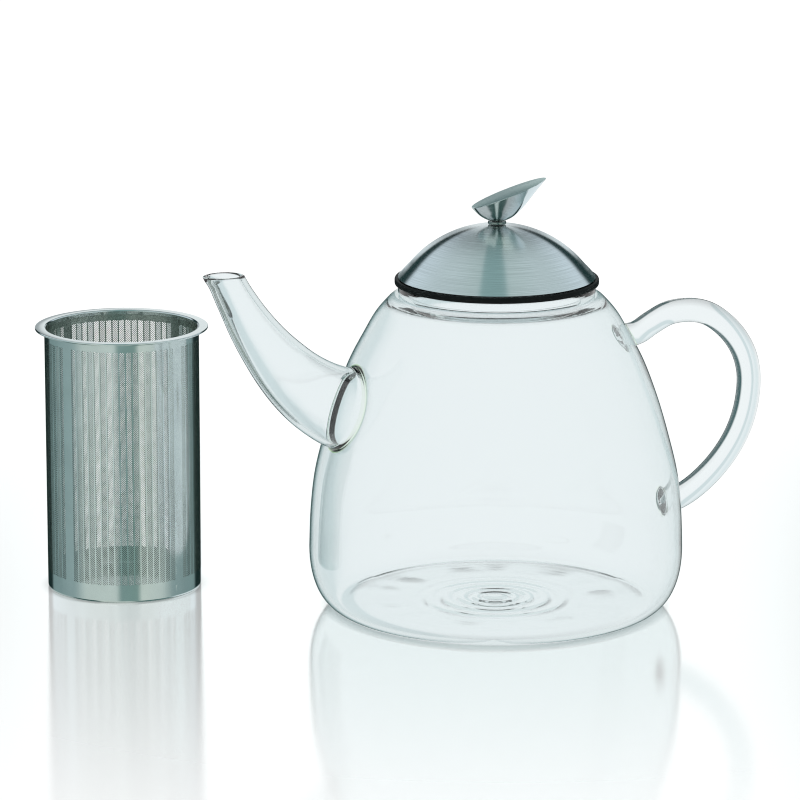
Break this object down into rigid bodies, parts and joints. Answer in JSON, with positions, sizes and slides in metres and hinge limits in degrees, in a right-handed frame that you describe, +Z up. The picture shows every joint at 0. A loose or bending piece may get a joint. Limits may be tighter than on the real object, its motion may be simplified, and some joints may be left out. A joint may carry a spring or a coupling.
{
  "type": "glass teapot",
  "caption": "Blown glass teapot with a curved spout, rod handle and brushed steel lid, and its perforated steel strainer standing beside it.",
  "frame": {"origin": "centre of the pot's flat underside, on the table", "axes": "+Z up along the pot's axis, +X from the spout towards the handle"},
  "size_m": [0.283, 0.1891, 0.1751],
  "materials": {
    "body_glass": "clear polished",
    "neck_glass": "clear polished",
    "spout_glass": "clear polished",
    "handle_glass": "clear polished",
    "black_silicone": "satin",
    "brushed_dome": "brushed in rings",
    "knob_steel": "polished, satin on the flat face",
    "collar_steel": "polished",
    "screw_steel": "machined",
    "rim_steel": "polished",
    "sleeve_steel": "perforated, bright",
    "cup_steel": "polished"
  },
  "bodies": {
    "pot": {"glass_body": "body_glass", "glass_neck": "neck_glass", "spout": "spout_glass", "handle": "handle_glass"},
    "lid_seal": {"seal_ring": "black_silicone"},
    "lid": {"lid_dome": "brushed_dome", "knob": "knob_steel", "knob_collar": "collar_steel", "lid_screw": "screw_steel"},
    "strainer": {"strainer_rim": "rim_steel", "strainer_sleeve": "sleeve_steel", "strainer_cup": "cup_steel"}
  },
  "joints": [
    {"name": "lid_lift", "type": "slide", "parent": "pot", "child": "lid_seal", "axis": [0, 0, 1], "range_m": [0, 0.08]},
    {"name": "lid_turn", "type": "hinge", "parent": "lid_seal", "child": "lid", "pos_m": [0, 0, 0.1346], "axis": [0, 0, 1], "continuous": true},
    {"name": "strainer_lift", "type": "slide", "parent": "pot", "child": "strainer", "axis": [0, 0, 1], "range_m": [0, 0.18]}
  ]
}
